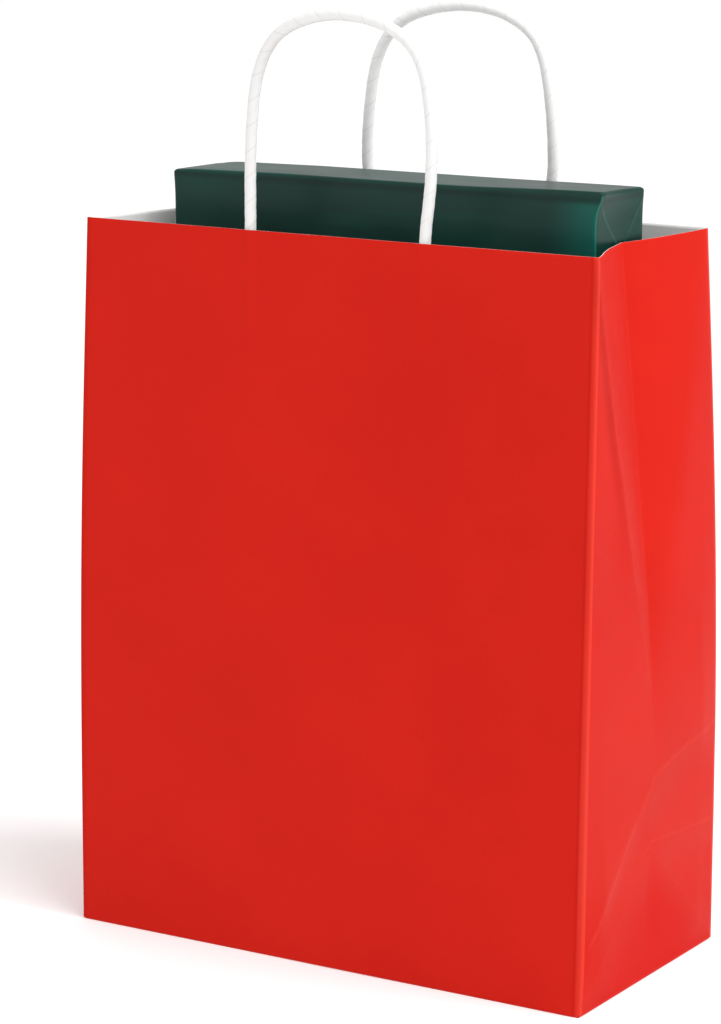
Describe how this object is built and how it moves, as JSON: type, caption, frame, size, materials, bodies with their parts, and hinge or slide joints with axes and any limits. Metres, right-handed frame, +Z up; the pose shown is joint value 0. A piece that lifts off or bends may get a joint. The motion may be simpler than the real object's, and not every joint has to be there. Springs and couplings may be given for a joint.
{
  "type": "gift bag",
  "caption": "Red paper gift bag with tucked gussets, a stiff base board and white twisted-paper handles, holding a slim present wrapped in green paper.",
  "frame": {"origin": "on the floor at the centre of the bag's base", "axes": "+Z up, +X to the right across the front panel, -Y towards the front"},
  "size_m": [0.256, 0.124, 0.4151],
  "materials": {
    "red_paper": "smooth satin, white inside",
    "patch_paper": "matte",
    "white_cord": "matte, tightly twisted",
    "base_card": "matte",
    "green_wrap": "satin",
    "box_card": "matte",
    "clear_tape": "clear satin film"
  },
  "bodies": {
    "bag": {"front_panel": "red_paper", "back_panel": "red_paper", "side_seam_flap": "red_paper", "base_flap_front": "red_paper", "base_flap_rear": "red_paper", "base_flap_left": "red_paper", "base_flap_right": "red_paper", "left_gusset_front_lower": "red_paper", "left_gusset_front_upper": "red_paper", "left_gusset_rear_lower": "red_paper", "left_gusset_rear_upper": "red_paper", "right_gusset_front_lower": "red_paper", "right_gusset_front_upper": "red_paper", "right_gusset_rear_lower": "red_paper", "right_gusset_rear_upper": "red_paper", "front_patch_outer": "patch_paper", "front_patch_inner": "patch_paper", "rear_patch_outer": "patch_paper", "rear_patch_inner": "patch_paper", "front_cord_ends": "white_cord", "rear_cord_ends": "white_cord", "base_board": "base_card"},
    "front_handle": {"front_handle_loop": "white_cord"},
    "rear_handle": {"rear_handle_loop": "white_cord"},
    "present": {"gift_wrap": "green_wrap", "gift_box_lid": "box_card", "gift_box_tray": "box_card", "wrap_tape": "clear_tape"}
  },
  "joints": [
    {"name": "front_handle_bend", "type": "hinge", "parent": "bag", "child": "front_handle", "pos_m": [0, -0.0468, 0.32246], "axis": [1, 0, 0], "range_deg": [-30, 90]},
    {"name": "rear_handle_bend", "type": "hinge", "parent": "bag", "child": "rear_handle", "pos_m": [0, 0.05083, 0.32262], "axis": [1, 0, 0], "range_deg": [-88, 30]},
    {"name": "present_lift", "type": "slide", "parent": "bag", "child": "present", "axis": [0, 0, 1], "range_m": [0, 0.43]}
  ]
}
